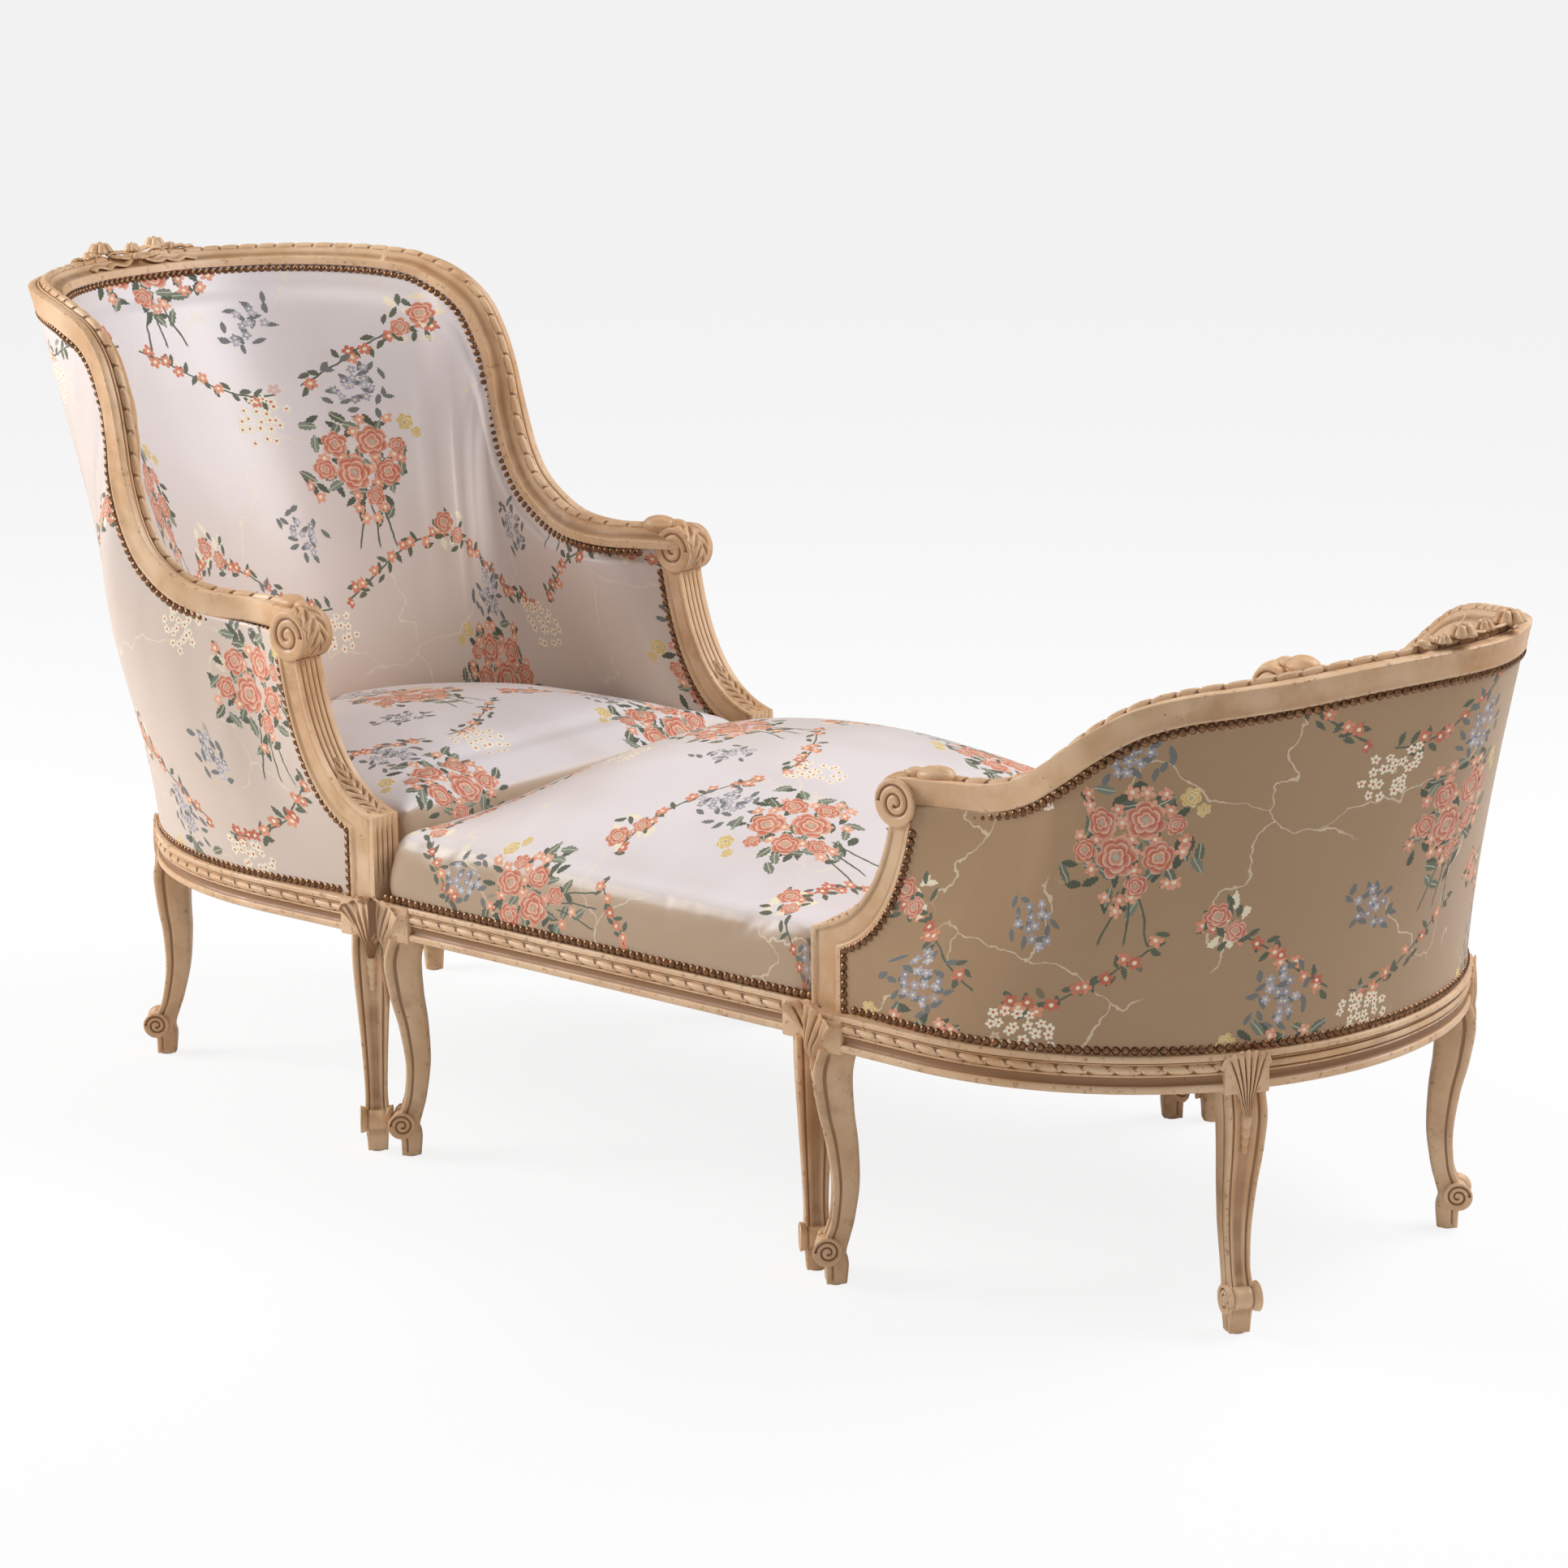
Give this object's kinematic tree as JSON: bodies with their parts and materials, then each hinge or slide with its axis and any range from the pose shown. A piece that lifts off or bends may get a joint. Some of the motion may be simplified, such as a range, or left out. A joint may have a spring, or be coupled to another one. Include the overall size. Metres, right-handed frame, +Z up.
{
  "type": "duchesse brisee chaise longue",
  "caption": "Sectional chaise longue in carved painted wood: a high tub armchair, a domed stool and a low tub foot chair, upholstered in brocade, pushed together on cabriole legs.",
  "frame": {"origin": "on the floor, at the centre of the bounding box of the three sections pushed together", "axes": "+X from the back of the high armchair to the back of the foot chair, +Y to the left of someone who sits in the high armchair, +Z up"},
  "size_m": [2.1892, 0.8084, 1.0403],
  "materials": {
    "painted_wood": "cream paint over carved beech, antiqued in the recesses and worn at the edges",
    "beech": "bare beech inside the back",
    "brocade": "ivory satin brocade with woven flowers",
    "outside_brocade": "the same brocade on the outside panels, beige in the shade",
    "nails": "antique brass domed nails, edge to edge",
    "jute": "woven jute webbing",
    "spring_steel": "plain steel coil springs"
  },
  "bodies": {
    "bergere": {"bergere_front_left_leg": "painted_wood", "bergere_rear_left_leg": "painted_wood", "bergere_front_right_leg": "painted_wood", "bergere_rear_right_leg": "painted_wood", "bergere_front_seat_rail": "painted_wood", "bergere_left_seat_rail": "painted_wood", "bergere_right_seat_rail": "painted_wood", "bergere_back_seat_rail": "painted_wood", "bergere_left_arm_support": "painted_wood", "bergere_right_arm_support": "painted_wood", "bergere_left_arm": "painted_wood", "bergere_right_arm": "painted_wood", "bergere_crest_rail": "painted_wood", "bergere_left_back_post": "beech", "bergere_right_back_post": "beech", "bergere_outside_cover": "outside_brocade", "bergere_inside_back": "brocade", "bergere_seat_pad": "brocade", "bergere_webbing": "jute", "bergere_springs": "spring_steel", "bergere_outside_nails": "nails", "bergere_crest_nails": "nails", "bergere_inside_nails": "nails"},
    "stool": {"stool_front_right_leg": "painted_wood", "stool_rear_right_leg": "painted_wood", "stool_front_left_leg": "painted_wood", "stool_rear_left_leg": "painted_wood", "stool_left_seat_rail": "painted_wood", "stool_right_seat_rail": "painted_wood", "stool_front_seat_rail": "painted_wood", "stool_rear_seat_rail": "painted_wood", "stool_seat_pad": "brocade", "stool_webbing": "jute", "stool_springs": "spring_steel", "stool_left_nails": "nails", "stool_right_nails": "nails"},
    "foot_chair": {"foot_chair_front_left_leg": "painted_wood", "foot_chair_rear_left_leg": "painted_wood", "foot_chair_front_right_leg": "painted_wood", "foot_chair_rear_right_leg": "painted_wood", "foot_chair_front_seat_rail": "painted_wood", "foot_chair_left_seat_rail": "painted_wood", "foot_chair_right_seat_rail": "painted_wood", "foot_chair_back_seat_rail": "painted_wood", "foot_chair_left_arm_support": "painted_wood", "foot_chair_right_arm_support": "painted_wood", "foot_chair_left_arm": "painted_wood", "foot_chair_right_arm": "painted_wood", "foot_chair_crest_rail": "painted_wood", "foot_chair_left_back_post": "beech", "foot_chair_right_back_post": "beech", "foot_chair_outside_cover": "outside_brocade", "foot_chair_inside_back": "brocade", "foot_chair_seat_pad": "brocade", "foot_chair_webbing": "jute", "foot_chair_springs": "spring_steel", "foot_chair_outside_nails": "nails", "foot_chair_crest_nails": "nails", "foot_chair_inside_nails": "nails"}
  },
  "joints": [
    {"name": "stool_slide", "type": "slide", "parent": "bergere", "child": "stool", "axis": [1, 0, 0], "range_m": [0, 0.4]},
    {"name": "foot_chair_slide", "type": "slide", "parent": "stool", "child": "foot_chair", "axis": [1, 0, 0], "range_m": [0, 0.4]}
  ]
}
